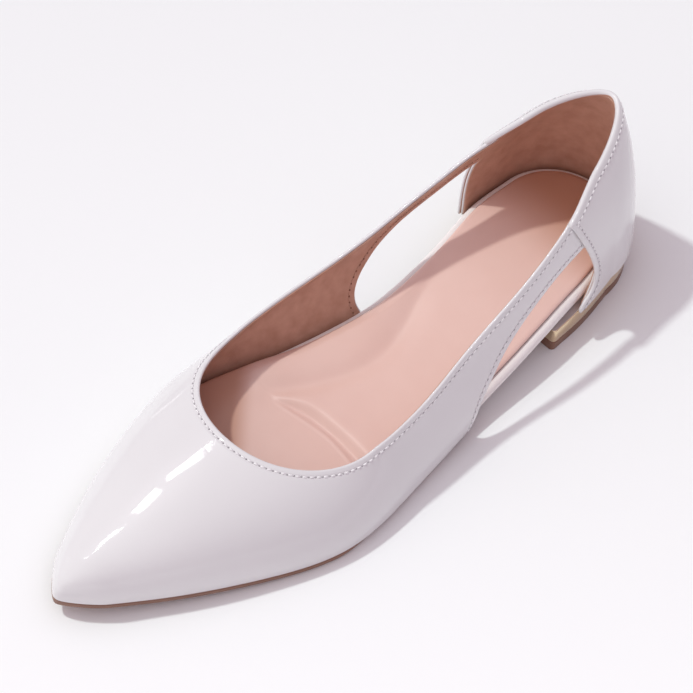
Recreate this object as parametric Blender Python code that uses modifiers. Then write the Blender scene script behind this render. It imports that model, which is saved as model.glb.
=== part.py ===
"""Pointed flat with a low block heel and side cut-outs: one left shoe.

The tables are in millimetres, and each mesh becomes metres as it is made. "along" runs from the back of
the heel (0) to the toe (LENGTH). The toe points to -X, the outer side of the foot is -Y, and +Z is up.
Run with: blender --background --python part.py
"""
import bpy
import bmesh
import numpy as np

for old in list(bpy.data.objects):
    bpy.data.objects.remove(old, do_unlink=True)

# Driving sizes
LENGTH = 262.0          # back of the heel seat to the toe
HEEL_DEPTH = 27.0       # the round back of the heel starts this far along
TOE_ROUND = 12.9        # depth of the round toe tip
ARCH_POWER = 2.35       # a section is a superellipse of this power
BACK_CROWN = 95.0       # height at which the back curve would close
LEAN_HEIGHT = 30.0      # the sections lean to the inner side up to this height
SEAT_GAP = 0.3          # clearance where pieces meet
UPPER_WALL = 1.4
COUNTER_WALL = 1.0
COUNTER_GAP = 0.4       # a little more, as both faces are faceted curves
SOLE_THICK = 2.7
SOLE_FLAT = 3.0         # lowest height of the upper's edge: the sole lies flat there
BOARD_THICK = 4.5
SOCK_THICK = 1.5
BREAST = 59.2           # front face of the heel block
FLAP_THICK = 1.2        # the sole's flap down the heel breast
LIFT_TOP = 4.6          # height of the tan top piece
WAIST_INSET = 4.6       # the sole draws in under the footbed at the waist, between these places along
WAIST_BACK, WAIST_FRONT = 96.0, 108.0
THROAT = 186.8          # front of the collar opening
THROAT_FROM = 150.0     # the collar curves in from here
THROAT_POWER = 0.94
CENTRE_X = 130.30       # the middle of the shoe's length and width becomes the origin
CENTRE_Y = 1.80
SHARP_ANGLE = 0.6       # radians: sharper edges than this keep a hard line

# One row per section across the foot
SECTION_COLUMNS = ("along", "centre", "half", "lean", "swell", "crown", "lift")
SECTIONS = np.array([
    (27, 0.0, 27.7, 0.7, 0.0, 59.6, 13.4),
    (44, -1.0, 29.8, 2.1, 0.0, 58.5, 13.0),
    (60, -2.5, 28.5, 3.5, 1.8, 70.0, 12.0),
    (78, -4.2, 28.9, 5.7, 3.2, 93.0, 9.5),
    (98, -5.0, 30.2, 7.6, 2.8, 104.0, 6.3),
    (118, -3.9, 33.6, 7.5, 1.2, 85.0, 4.1),
    (138, -2.2, 37.4, 6.3, 0.0, 55.0, 3.0),
    (156, -0.2, 41.6, 4.9, 0.0, 38.5, 3.0),
    (172, 1.9, 43.5, 4.1, 0.0, 32.6, 3.0),
    (187, 3.9, 41.2, 2.8, 0.0, 30.5, 3.2),
    (202, 5.8, 36.4, 1.3, 0.0, 28.2, 4.0),
    (217, 7.4, 30.4, 0.0, 0.0, 25.0, 5.0),
    (232, 8.8, 23.2, -0.9, 0.0, 20.6, 6.0),
    (248, 10.0, 13.9, -1.1, 0.0, 15.0, 7.4),
    (262, 10.9, 5.9, -1.0, 0.0, 10.4, 9.2)])

# Topline of the collar, from the counter to the throat: along, height
TOPLINE = np.array([(44, 57.2), (60, 51.6), (78, 45.6), (98, 38.8), (118, 32.9), (138, 30.2), (150, 29.4)])
HEEL_TOP, BACK_TOP = 66.3, 70.6     # topline where the round back starts, and at the back seam
STRAP_TOP_END = 97.0                # the strap widens into the wing here, at the topline
# Lower edge of the strap, over the cut-out: along, height
STRAP_LOW = np.array([(43, 42.9), (54, 41.2), (66, 37.7), (78, 33.1), (90, 26.6), (95, 23.0)])
# Front edge of the counter: height, along
COUNTER_FRONT = np.array([(13.3, 51.5), (15.5, 47.5), (18.5, 43.6), (23, 40.4), (29, 39.3), (35, 39.6),
                          (41, 40.8), (47, 42.6), (53, 44.6), (59, 46.6)])
COUNTER_TOP = 46.2                  # where that edge meets the topline
# The cut-out's front edge on each side: where its foot is along the shoe, and how far it bows forward
SIDES = {"outer": dict(sign=-1.0, cut_foot=107.5, cut_bow=2.6),
         "inner": dict(sign=1.0, cut_foot=101.0, cut_bow=3.4)}
WALL_FOOT, WALL_BOW = 48.0, -6.6    # the heel wall's front edge, under the counter
BACK_ARC = HEEL_DEPTH * np.pi / 2
SIDE_END, STRAP_END, STRAP_START = TOPLINE[0, 0], STRAP_LOW[0, 0], STRAP_LOW[-1, 0]


def through(table, x):
    """Smooth curve through a two-column table: a cubic in each step with slopes from its neighbours."""
    xs, ys = table[:, 0], table[:, 1]
    step, slope = np.diff(xs), np.diff(ys) / np.diff(xs)
    m = np.concatenate([slope[:1], (slope[:-1] * step[1:] + slope[1:] * step[:-1]) / (step[:-1] + step[1:]),
                        slope[-1:]])
    x = np.asarray(x, float)
    i = np.clip(np.searchsorted(xs, x) - 1, 0, len(xs) - 2)
    t = (x - xs[i]) / step[i]
    return (ys[i] * (1 + 2 * t) * (1 - t) ** 2 + step[i] * m[i] * t * (1 - t) ** 2
            + ys[i + 1] * t * t * (3 - 2 * t) + step[i] * m[i + 1] * t * t * (t - 1))


def section(name, along):
    """One column of SECTIONS at any place along the shoe."""
    k = SECTION_COLUMNS.index(name)
    value = through(SECTIONS[:, [0, k]], np.clip(along, HEEL_DEPTH, LENGTH))
    return np.maximum(value, SOLE_FLAT) if name == "lift" else value


def nose(along):
    """1 along the foot, falling to 0 round the toe tip."""
    u = np.clip((along - LENGTH + TOE_ROUND) / TOE_ROUND, 0, 1)
    return np.sqrt(np.clip(1 - u * u, 0, 1))


def arch(u):
    """Half-width of a section as a share of its foot, u of the way up to the crown."""
    return np.clip(1 - np.clip(u, 0, 1) ** ARCH_POWER, 0, None) ** (1 / ARCH_POWER)


def crown(along):
    return np.maximum(section("crown", along) * nose(along) ** 0.7, 1e-3)


def lean(along, h):
    """Shift of the section's middle to the inner side, easing in and out up to LEAN_HEIGHT."""
    u = np.clip(h / LEAN_HEIGHT, 0, 1)
    return section("lean", along) * u * u * (3 - 2 * u)


def swell(along, h):
    """The side wall stands out between the sole and the strap."""
    top = through(TOPLINE, np.clip(along, SIDE_END, THROAT_FROM)) - section("lift", along)
    u = np.clip(h / top, 0, 1)
    return section("swell", along) * 4 * u * (1 - u)


def wall(side, s, h, out=0.0):
    """A point of the upper's outer face: s is the way along from the round heel, negative round the back,
    h the height above the sole, out the distance outside the face. Returns along, across and height."""
    s, h = np.broadcast_arrays(np.asarray(s, float), np.asarray(h, float))
    along, turn = np.maximum(s, 0) + HEEL_DEPTH, np.clip(-s, 0, None) / HEEL_DEPTH
    width = (section("half", along) * arch(h / crown(along)) + out) * nose(along) + swell(along, h)
    depth = HEEL_DEPTH * arch(h / BACK_CROWN) + out
    across = section("centre", along) + lean(along, h) + side * width * np.cos(turn)
    return np.stack([along - depth * np.sin(turn), across, section("lift", along) + h], -1)


def rise(s, angle):
    """Height above the sole at an angle up the section, 0 at the sole and a right angle at the crown."""
    return crown(np.maximum(s, 0) + HEEL_DEPTH) * np.sin(angle) ** (2 / ARCH_POWER)


def angle_at(s, h):
    u = np.clip(h / crown(np.maximum(s, 0) + HEEL_DEPTH), 0, 1)
    return np.arcsin(u ** (ARCH_POWER / 2))


def topline(s):
    """Height of the collar's edge above the floor, from the throat's sides back to the heel."""
    along = np.maximum(s, 0) + HEEL_DEPTH
    side = through(TOPLINE, np.clip(along, SIDE_END, THROAT_FROM))
    near = np.clip((SIDE_END - along) / (SIDE_END - HEEL_DEPTH), 0, 1) * (HEEL_TOP - TOPLINE[0, 1])
    turn = np.clip(-s, 0, BACK_ARC) / HEEL_DEPTH
    return side + near + (BACK_TOP - HEEL_TOP) * np.sin(turn)


def strap_low(s):
    """Height of the strap's lower edge, carried on round the heel at the same distance from the topline."""
    along = np.maximum(s, 0) + HEEL_DEPTH
    depth = topline(STRAP_END - HEEL_DEPTH) - STRAP_LOW[0, 1]
    return np.where(along > STRAP_END, through(STRAP_LOW, np.clip(along, STRAP_END, STRAP_START)),
                    topline(s) - depth)


def to_metres(points):
    return np.stack([CENTRE_X - points[..., 0], points[..., 1] - CENTRE_Y, points[..., 2]], -1) * 0.001


def material(name, colour, roughness, metallic=0.0):
    mat = bpy.data.materials.new(name)
    mat.use_nodes = True
    shader = mat.node_tree.nodes["Principled BSDF"]
    shader.inputs["Base Color"].default_value = (*colour, 1.0)
    shader.inputs["Roughness"].default_value = roughness
    shader.inputs["Metallic"].default_value = metallic
    return mat


def add_object(name, verts, faces, mat):
    """A mesh object from points in metres, with doubled points joined."""
    mesh = bpy.data.meshes.new(name)
    mesh.from_pydata([tuple(v) for v in verts], [], faces)
    bm = bmesh.new()
    bm.from_mesh(mesh)
    bmesh.ops.remove_doubles(bm, verts=bm.verts, dist=2e-6)
    bmesh.ops.dissolve_degenerate(bm, edges=bm.edges, dist=1e-7)
    bm.to_mesh(mesh)
    bm.free()
    mesh.shade_smooth()
    mesh.set_sharp_from_angle(angle=SHARP_ANGLE)
    obj = bpy.data.objects.new(name, mesh)
    shoe.objects.link(obj)
    mesh.materials.append(mat)
    return obj


def grid_faces(cols, rows, start, flip, keep):
    """Quads of a grid of points, column by column; keep(c, r) says which cells exist."""
    faces = []
    for c in range(cols - 1):
        for r in range(rows - 1):
            if keep(c, r):
                i = start + c * rows + r
                quad = (i, i + rows, i + rows + 1, i + 1)
                faces.append(quad[::-1] if flip else quad)
    return faces


def loft(name, rings, mat):
    """A closed solid through rings of points, with its two ends capped."""
    n, m = rings.shape[:2]
    faces = [(i * m + j, i * m + (j + 1) % m, (i + 1) * m + (j + 1) % m, (i + 1) * m + j)
             for i in range(n - 1) for j in range(m)]
    faces += [tuple(range(m))[::-1], tuple(range((n - 1) * m, n * m))]
    obj = add_object(name, to_metres(rings).reshape(-1, 3), faces, mat)
    bm = bmesh.new()
    bm.from_mesh(obj.data)
    bmesh.ops.recalc_face_normals(bm, faces=bm.faces)
    bm.to_mesh(obj.data)
    bm.free()
    return obj


def thicken(obj, thickness, offset):
    mod = obj.modifiers.new("wall", "SOLIDIFY")
    mod.thickness = thickness * 0.001
    mod.offset = offset
    mod.use_quality_normals = True


shoe = bpy.data.collections.new("pointed_flat")
bpy.context.scene.collection.children.link(shoe)
white = material("white_patent", (0.86, 0.86, 0.88), 0.08)
white_counter = material("white_patent_counter", (0.86, 0.86, 0.88), 0.08)
white_board = material("white_leather_board", (0.84, 0.82, 0.81), 0.3)
beige = material("beige_leather", (0.80, 0.52, 0.42), 0.55)
gold = material("gold_band", (0.83, 0.68, 0.42), 0.2, 1.0)
tan = material("tan_sole", (0.33, 0.17, 0.10), 0.45)
tan_lift = material("tan_lift", (0.30, 0.15, 0.09), 0.5)

# Upper: a grid on each side from the toe back to the heel, open at the cut-out, then one wall
TOE_STEPS, THROAT_STEPS, WING_STEPS, STRAP_STEPS, SIDE_STEPS, BACK_STEPS = 18, 13, 10, 10, 5, 13
LOW_ROWS, BAND_ROWS = 6, 6
APEX_FOOT = 197.0       # place on the sole whose grid line runs up to the throat


def upper_lines(cut_foot):
    """Places along the shoe of each grid line at the sole, at the strap's lower edge and at the topline,
    and the line's index where the cut-out starts and ends."""
    tip = np.concatenate([LENGTH - TOE_ROUND + TOE_ROUND * np.cos(np.linspace(0, np.pi / 2, 6)),
                          np.linspace(LENGTH - TOE_ROUND, APEX_FOOT, TOE_STEPS - 5)[1:]])
    blend = np.clip((LENGTH - TOE_ROUND - tip) / (LENGTH - TOE_ROUND - APEX_FOOT), 0, 1) ** 2
    ridge = tip - blend * (APEX_FOOT - THROAT)
    turn = np.linspace(0, np.pi / 2, THROAT_STEPS)[1:]
    collar = THROAT_FROM + (THROAT - THROAT_FROM) * np.cos(turn) ** THROAT_POWER
    foot = np.linspace(APEX_FOOT, THROAT_FROM, THROAT_STEPS)[1:]
    w = np.linspace(0, 1, WING_STEPS)[1:]
    s = np.linspace(0, 1, STRAP_STEPS)[1:]
    e = np.linspace(0, 1, SIDE_STEPS)[1:]
    back = HEEL_DEPTH - BACK_ARC * np.linspace(0, 1, BACK_STEPS)[1:]
    low = np.concatenate([tip, foot, THROAT_FROM + (cut_foot - THROAT_FROM) * w,
                          cut_foot + (WALL_FOOT - cut_foot) * s,
                          WALL_FOOT + (HEEL_DEPTH - WALL_FOOT) * e, back])
    near_heel = STRAP_END + (HEEL_DEPTH - STRAP_END) * e
    mid = np.concatenate([(tip + ridge) / 2, (foot + collar) / 2,
                          THROAT_FROM + (STRAP_START - THROAT_FROM) * w,
                          STRAP_START + (STRAP_END - STRAP_START) * s, near_heel, back])
    top = np.concatenate([ridge, collar, THROAT_FROM + (STRAP_TOP_END - THROAT_FROM) * w,
                          STRAP_TOP_END + (STRAP_END - STRAP_TOP_END) * s, near_heel, back])
    cut = TOE_STEPS + THROAT_STEPS + WING_STEPS - 3
    return low, mid, top, cut, cut + STRAP_STEPS - 1


def upper_points(side):
    """The grid of (s, angle) for one side, column by column, and the columns of its cut-out."""
    low, mid, top, cut, heel = upper_lines(side["cut_foot"])
    s_low, s_mid, s_top = low - HEEL_DEPTH, mid - HEEL_DEPTH, top - HEEL_DEPTH
    i_apex, i_wing = TOE_STEPS - 1, TOE_STEPS + THROAT_STEPS - 2
    a_top = angle_at(s_top, topline(s_top) - section("lift", np.maximum(top, HEEL_DEPTH)))
    a_top[:i_apex + 1] = np.pi / 2
    turn = np.linspace(0, np.pi / 2, THROAT_STEPS)
    at = top[i_apex:i_wing + 1]
    half = section("half", THROAT_FROM) * np.cos(a_top[i_wing]) ** (2 / ARCH_POWER)
    share = np.clip(half * np.sin(turn) ** THROAT_POWER / section("half", at), 0, 1)
    a_top[i_apex:i_wing + 1] = np.arccos(share ** (ARCH_POWER / 2))
    a_mid = angle_at(s_mid, strap_low(s_mid) - section("lift", np.maximum(mid, HEEL_DEPTH)))
    fade = np.clip(np.arange(len(mid)) / cut, 0, 1)
    vamp = 0.5 * a_top
    a_mid = np.where(np.arange(len(mid)) < cut, vamp + (a_mid - vamp) * fade ** 6, a_mid)
    bow = np.zeros(len(mid))
    bow[i_wing:cut + 1] = side["cut_bow"] * np.linspace(0, 1, cut + 1 - i_wing) ** 1.5
    bow[heel:heel + SIDE_STEPS] = WALL_BOW * np.linspace(1, 0, SIDE_STEPS)
    v, w = np.linspace(0, 1, LOW_ROWS + 1), np.linspace(0, 1, BAND_ROWS + 1)[1:]
    s = np.concatenate([s_low[:, None] + (s_mid - s_low)[:, None] * v + bow[:, None] * 4 * v * (1 - v),
                        s_mid[:, None] + (s_top - s_mid)[:, None] * w], 1)
    angle = np.concatenate([a_mid[:, None] * v, a_mid[:, None] + (a_top - a_mid)[:, None] * w], 1)
    return s, angle, cut, heel


verts, faces = [], []
for side in SIDES.values():
    s, angle, cut, heel = upper_points(side)
    points = wall(side["sign"], s, rise(s, angle))
    faces += grid_faces(*s.shape, len(verts), side["sign"] > 0,
                        lambda c, r: not (cut <= c < heel and r < LOW_ROWS))
    verts += list(to_metres(points).reshape(-1, 3))
thicken(add_object("upper", verts, faces, white), UPPER_WALL, -1.0)

# Counter: the overlay round the heel, on the same wall a little further out, with a curved front edge
COUNTER_COLS, COUNTER_ROWS = 19, 12
verts, faces = [], []
for side in SIDES.values():
    w, v = np.meshgrid(np.linspace(0, 1, COUNTER_COLS), np.linspace(0, 1, COUNTER_ROWS), indexing="ij")
    foot, peak = COUNTER_FRONT[0, 0], topline(COUNTER_TOP - HEEL_DEPTH)
    front = through(COUNTER_FRONT, foot + (peak - foot) * v) - HEEL_DEPTH
    s = front + (-BACK_ARC - front) * w
    lift = section("lift", np.maximum(s, 0) + HEEL_DEPTH)
    h = (topline(s) - lift) * v
    points = wall(side["sign"], s, h, COUNTER_GAP)
    faces += grid_faces(COUNTER_COLS, COUNTER_ROWS, len(verts), side["sign"] > 0, lambda c, r: True)
    verts += list(to_metres(points).reshape(-1, 3))
thicken(add_object("counter", verts, faces, white_counter), COUNTER_WALL, 1.0)


def ring(s, edge):
    """Points round one section: edge lists (out, height) up the outer side, mirrored down the inner one."""
    left = [wall(-1.0, s, 0.0, out)[:2].tolist() + [z] for out, z in edge]
    right = [wall(1.0, s, 0.0, out)[:2].tolist() + [z] for out, z in edge[::-1]]
    return left + right


def stations(back_steps, *stretches):
    """Sections from the front back round the heel: each stretch is its start and end along, and a count."""
    ahead = np.concatenate([np.linspace(a, b, n)[:-1] for a, b, n in stretches])
    return np.concatenate([ahead - HEEL_DEPTH, -BACK_ARC * np.sin(np.linspace(0, np.pi / 2, back_steps))])


# Heel: the tan top piece on the floor and the gold block above it, each edge as (out, height)
BEVEL = 0.5
heel_s = stations(16, (BREAST, HEEL_DEPTH, 7))
seat = section("lift", np.maximum(heel_s, 0) + HEEL_DEPTH) - SEAT_GAP
loft("top_piece", np.array([ring(s, [(-0.6, 0.0), (-0.1, BEVEL), (0.1, LIFT_TOP)]) for s in heel_s]), tan_lift)
loft("heel_block", np.array([ring(s, [(0.1, LIFT_TOP + SEAT_GAP), (0.2, z - BEVEL), (-0.3, z)])
                             for s, z in zip(heel_s, seat)]), gold)

# Outsole: from the toe to the heel breast, with a flap down the breast
sole_a = np.concatenate([LENGTH - TOE_ROUND + TOE_ROUND * np.cos(np.linspace(0.02, np.pi / 2, 7)),
                         np.linspace(LENGTH - TOE_ROUND, BREAST + SEAT_GAP + FLAP_THICK, 27)[1:]])
sole_top = section("lift", sole_a) - SEAT_GAP
sole_low = np.maximum(sole_top - SOLE_THICK, 0.0)
flap_a = np.array([sole_a[-1] - 0.02, BREAST + SEAT_GAP])
sole_a = np.concatenate([sole_a, flap_a])
sole_top = np.concatenate([sole_top, section("lift", flap_a) - SEAT_GAP])
sole_low = np.concatenate([sole_low, [LIFT_TOP + SEAT_GAP] * 2])
u = np.clip((WAIST_FRONT - sole_a) / (WAIST_FRONT - WAIST_BACK), 0, 1)
draw_in = WAIST_INSET * u * u * (3 - 2 * u)
loft("outsole", np.array([ring(a - HEEL_DEPTH, [(-1.1 - d, lo), (0.1 - d, lo + 0.8), (0.3 - d, hi - BEVEL), (-d, hi)])
                          for a, lo, hi, d in zip(sole_a, sole_low, sole_top, draw_in)]), tan)


def pad_ring(s, edge):
    """A section of the footbed or sock, with half the wall's lean; edge lists (inset, height above sole)."""
    along = max(s, 0) + HEEL_DEPTH
    rows = []
    for sign, order in ((-1.0, 1), (1.0, -1)):
        for inset, h in edge[::order]:
            x, y = wall(sign, s, 0.0, -inset)[:2]
            rows.append([x, y + 0.5 * lean(along, h), section("lift", along) + h])
    return rows


# Footbed board and the padded sock on it, inside the upper
INSET = UPPER_WALL + SEAT_GAP + 0.5
MARGIN = 2.8            # the board's white rim shows this wide round the sock
BOARD_FRONT, SOCK_FRONT, TOE_TAPER, WAIST = 253.0, 248.0, 235.0, 60.0
board_s = stations(12, (BOARD_FRONT, TOE_TAPER, 5), (TOE_TAPER, WAIST, 22), (WAIST, HEEL_DEPTH, 5))
board_edge = [(INSET + 0.5, 0.0), (INSET, 0.8), (INSET, 2.8), (INSET + 0.9, 4.0), (INSET + 2.4, BOARD_THICK)]
loft("footbed", np.array([pad_ring(s, board_edge) for s in board_s]), white_board)
sock_low = BOARD_THICK + SEAT_GAP
sock_s = stations(12, (SOCK_FRONT, TOE_TAPER, 4), (TOE_TAPER, WAIST, 22), (WAIST, HEEL_DEPTH, 5))
sock_edge = [(INSET + MARGIN, sock_low), (INSET + MARGIN, sock_low + 0.8),
             (INSET + MARGIN + 1.0, sock_low + SOCK_THICK)]
loft("insole", np.array([pad_ring(s, sock_edge) for s in sock_s]), beige)
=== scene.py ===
# %% [markdown]
# # A white patent flat with side cut-outs, dressed in Blender
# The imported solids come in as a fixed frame. They carry the sizes and the physics, and each of them is
# faceted and plain. This lesson puts the real surface over each one: glossy patent leather, a tan lining,
# stitches, a padded sock, a gold heel band. Every piece is a surface that numpy works out on a grid.

# %% Load the frame
import bmesh
import bpy
import numpy as np
from mathutils import Matrix, Vector
from mathutils.bvhtree import BVHTree


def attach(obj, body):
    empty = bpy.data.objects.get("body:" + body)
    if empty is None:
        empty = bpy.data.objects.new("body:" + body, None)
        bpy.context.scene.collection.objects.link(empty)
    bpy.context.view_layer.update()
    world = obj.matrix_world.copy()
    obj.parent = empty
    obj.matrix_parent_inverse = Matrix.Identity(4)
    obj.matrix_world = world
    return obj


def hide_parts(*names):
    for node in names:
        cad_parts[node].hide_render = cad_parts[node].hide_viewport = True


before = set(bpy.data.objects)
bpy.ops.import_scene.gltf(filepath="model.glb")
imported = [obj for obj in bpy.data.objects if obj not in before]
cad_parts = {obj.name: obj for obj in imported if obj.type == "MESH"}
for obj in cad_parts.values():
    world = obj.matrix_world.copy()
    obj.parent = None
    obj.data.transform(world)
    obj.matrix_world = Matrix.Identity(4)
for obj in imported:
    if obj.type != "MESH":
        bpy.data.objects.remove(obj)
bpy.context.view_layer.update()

# %% [markdown]
# ## The last
# A shoe is built round a last, a solid foot shape. Here the last is a table with one row for each section
# across the foot, in millimetres along from the back of the heel. A glossy surface shows every kink, so the
# columns are blurred a little along the foot, which keeps the sizes and makes the reflections run smoothly.

# %% Sections of the last
LENGTH, HEEL_DEPTH, SOLE_FLAT = 262.0, 27.0, 3.0
LAST_COLUMNS = ("along", "centre", "half", "lean", "swell", "crown", "lift")
LAST = np.array([
    (27, 0.0, 27.7, 0.7, 0.0, 59.6, 13.4),
    (44, -1.0, 29.8, 2.1, 0.0, 58.5, 13.0),
    (60, -2.5, 28.5, 3.5, 1.8, 70.0, 12.0),
    (78, -4.2, 28.9, 5.7, 3.2, 93.0, 9.5),
    (98, -5.0, 30.2, 7.6, 2.8, 104.0, 6.3),
    (118, -3.9, 33.6, 7.5, 1.2, 85.0, 4.1),
    (138, -2.2, 37.4, 6.3, 0.0, 55.0, 3.0),
    (156, -0.2, 41.6, 4.9, 0.0, 38.5, 3.0),
    (172, 1.9, 43.5, 4.1, 0.0, 32.6, 3.0),
    (187, 3.9, 41.2, 2.8, 0.0, 30.5, 3.2),
    (202, 5.8, 36.4, 1.3, 0.0, 28.2, 4.0),
    (217, 7.4, 30.4, 0.0, 0.0, 25.0, 5.0),
    (232, 8.8, 23.2, -0.9, 0.0, 20.6, 6.0),
    (248, 10.0, 13.9, -1.1, 0.0, 15.0, 7.4),
    (262, 10.9, 5.9, -1.0, 0.0, 10.4, 9.2)])
BLUR, STATION_STEP = 6.0, 0.5


def curve(table, x):
    """Smooth curve through a two-column table: a cubic in each step with slopes from its neighbours."""
    xs, ys = table[:, 0], table[:, 1]
    step, slope = np.diff(xs), np.diff(ys) / np.diff(xs)
    m = np.concatenate([slope[:1], (slope[:-1] * step[1:] + slope[1:] * step[:-1]) / (step[:-1] + step[1:]),
                        slope[-1:]])
    x = np.asarray(x, float)
    i = np.clip(np.searchsorted(xs, x) - 1, 0, len(xs) - 2)
    t = (x - xs[i]) / step[i]
    return (ys[i] * (1 + 2 * t) * (1 - t) ** 2 + step[i] * m[i] * t * (1 - t) ** 2
            + ys[i + 1] * t * t * (3 - 2 * t) + step[i] * m[i + 1] * t * t * (t - 1))


def ease(u):
    """0 to 1 with level ends: u^2 * (3 - 2 u), with u kept between 0 and 1."""
    u = np.clip(u, 0, 1)
    return u * u * (3 - 2 * u)


def blurred(values, width):
    """A bell-weighted mean over neighbours; past each end the values go on as their own odd reflection."""
    reach = int(3 * width)
    bell = np.exp(-0.5 * (np.arange(-reach, reach + 1) / width) ** 2)
    head, tail = 2 * values[0] - values[reach:0:-1], 2 * values[-1] - values[-2:-reach - 2:-1]
    return np.convolve(np.concatenate([head, values, tail]), bell / bell.sum(), "valid")


STATIONS = np.arange(HEEL_DEPTH, LENGTH + STATION_STEP / 2, STATION_STEP)
COLUMN = {name: blurred(curve(LAST[:, [0, k]], STATIONS), BLUR / STATION_STEP)
          for k, name in enumerate(LAST_COLUMNS) if k}
COLUMN["lift"] = np.maximum(COLUMN["lift"], SOLE_FLAT)


def section(name, along):
    """One column of the last at any place along the foot."""
    return np.interp(along, STATIONS, COLUMN[name])


print("sections:", len(LAST), "ball half-width:", float(section("half", 172.0).round(1)))

# %% [markdown]
# ## Lines on the shoe
# A maker draws the collar and the lower edge of the strap on the last. Here each line is a short table of
# (along, height) with a smooth curve through it. Curve objects drawn by hand would do as well, but a table
# shows the sizes. The throat is a curve between two places along the foot.

# %% Collar and strap
BACK_ARC = HEEL_DEPTH * np.pi / 2
TOPLINE = np.array([(44, 57.2), (60, 51.6), (78, 45.6), (98, 38.8), (118, 32.9), (138, 30.2), (150, 29.4)])
STRAP_LOW = np.array([(43, 42.9), (54, 41.7), (66, 38.7), (78, 34.2), (90, 27.1), (95, 23.0)])
BACK_LINE = np.array([(-BACK_ARC, 69.6), (-36, 69.7), (-28, 69.6), (-13, 68.3), (0, 65.4)])
THROAT, THROAT_FROM, THROAT_POWER = 186.8, 150.0, 0.94
SIDE_END, STRAP_END, STRAP_START, STRAP_TOP_END = 44.0, 43.0, 95.0, 97.0
OUTER, INNER = -1.0, 1.0


def along_at(s):
    """Place along the foot for s, which starts where the heel turns and is negative round its back."""
    return np.maximum(s, 0) + HEEL_DEPTH


def topline(s):
    """Height of the collar's edge above the floor, from the sides of the throat back round the heel."""
    whole = np.concatenate([BACK_LINE, TOPLINE - [HEEL_DEPTH, 0]])
    return curve(whole, np.clip(s, -BACK_ARC, THROAT_FROM - HEEL_DEPTH))


def strap_low(s):
    """Height of the strap's lower edge, carried on round the heel at the same distance from the topline."""
    along = along_at(s)
    depth = topline(STRAP_END - HEEL_DEPTH) - STRAP_LOW[0, 1]
    return np.where(along > STRAP_END, curve(STRAP_LOW, np.clip(along, STRAP_END, STRAP_START)),
                    topline(s) - depth)


def sole_top(s):
    """Height above the floor of the sole's upper face, where the wall stands."""
    return section("lift", along_at(s))


print("collar at the back and at the throat:", topline(np.array([-BACK_ARC, 200.0])).round(1), "mm")

# %% [markdown]
# ## One function for the whole outside
# `wall` gives any point of the upper's outer face. Each section is half of a superellipse. Its middle leans
# to the inner side of the foot, and it swells a little between sole and strap. Round the heel the two sides
# meet on an arc. A sculpted mesh could have this shape too, but with one function the upper, counter, heel,
# sole and footbed all fit each other.

# %% The wall
MM, CENTRE = 0.001, np.array([130.30, 1.80])
TOE_ROUND, ARCH_POWER, TIP_DOME, BACK_CROWN, LEAN_HEIGHT = 12.9, 2.35, 0.7, 95.0, 30.0


def nose(along):
    """1 along the foot, falling to 0 round the toe tip as a quarter circle does."""
    u = np.clip((along - LENGTH + TOE_ROUND) / TOE_ROUND, 0, 1)
    return np.sqrt(np.clip(1 - u * u, 0, 1))


def arch(u):
    """Half-width of a superellipse as a share of its foot, u of the way up: (1 - u^p)^(1/p)."""
    return np.clip(1 - np.clip(u, 0, 1) ** ARCH_POWER, 0, None) ** (1 / ARCH_POWER)


def crown(along):
    """Height at which a section closes: the table's, times nose^TIP_DOME round the tip."""
    return np.maximum(section("crown", along) * nose(along) ** TIP_DOME, 1e-3)


def lean(along, h):
    """Shift to the inner side, which eases in and out up to LEAN_HEIGHT."""
    return section("lean", along) * ease(h / LEAN_HEIGHT)


def swell(along, h):
    """The side stands out between sole and topline as a parabola, 4 u (1 - u)."""
    u = np.clip(h / (curve(TOPLINE, np.clip(along, SIDE_END, THROAT_FROM)) - section("lift", along)), 0, 1)
    return section("swell", along) * 4 * u * (1 - u)


def wall(side, s, h, out=0.0):
    """A point of the outer face: s runs along from the round heel, negative round the back, h is the height
    above the sole, out the distance outside the face. Gives along, across and height."""
    s, h = np.broadcast_arrays(np.asarray(s, float), np.asarray(h, float))
    along, turn = along_at(s), np.clip(-s, 0, None) / HEEL_DEPTH
    width = (section("half", along) * arch(h / crown(along)) + out) * nose(along) + swell(along, h)
    depth = HEEL_DEPTH * arch(h / BACK_CROWN) + out
    across = section("centre", along) + lean(along, h) + side * width * np.cos(turn)
    return np.stack([along - depth * np.sin(turn), across, section("lift", along) + h], -1)


def rise(s, angle):
    """Height above the sole at an angle up the section, from 0 at the sole to a right angle at the crown:
    crown * sin(angle)^(2/p)."""
    return crown(along_at(s)) * np.sin(angle) ** (2 / ARCH_POWER)


def angle_at(s, h):
    """The angle up the section at a height above the sole, the inverse of rise."""
    return np.arcsin(np.clip(h / crown(along_at(s)), 0, 1) ** (ARCH_POWER / 2))


def row_frame(points):
    """Shoe sizes in millimetres (along, across, height) to the part's frame in metres: the toe is at -X."""
    return np.stack([CENTRE[0] - points[..., 0], points[..., 1] - CENTRE[1], points[..., 2]], -1) * MM


print("back of the heel:", wall(OUTER, -BACK_ARC, 30.0).round(1))

# %% [markdown]
# ## Helpers for sheets and lofts
# Every piece goes into Blender in the same way: its points and faces as whole arrays, doubled points joined,
# faces turned outwards, smooth shading. Then it is tied to the part's one body.

# %% Grids and pieces
WELD, SLIVER = 2e-3, 1e-4
shoe = bpy.data.collections.new("pointed_flat_visual")
bpy.context.scene.collection.children.link(shoe)


def unit(v):
    """Each vector divided by its length."""
    return v / np.maximum(np.linalg.norm(v, axis=-1, keepdims=True), 1e-12)


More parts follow.
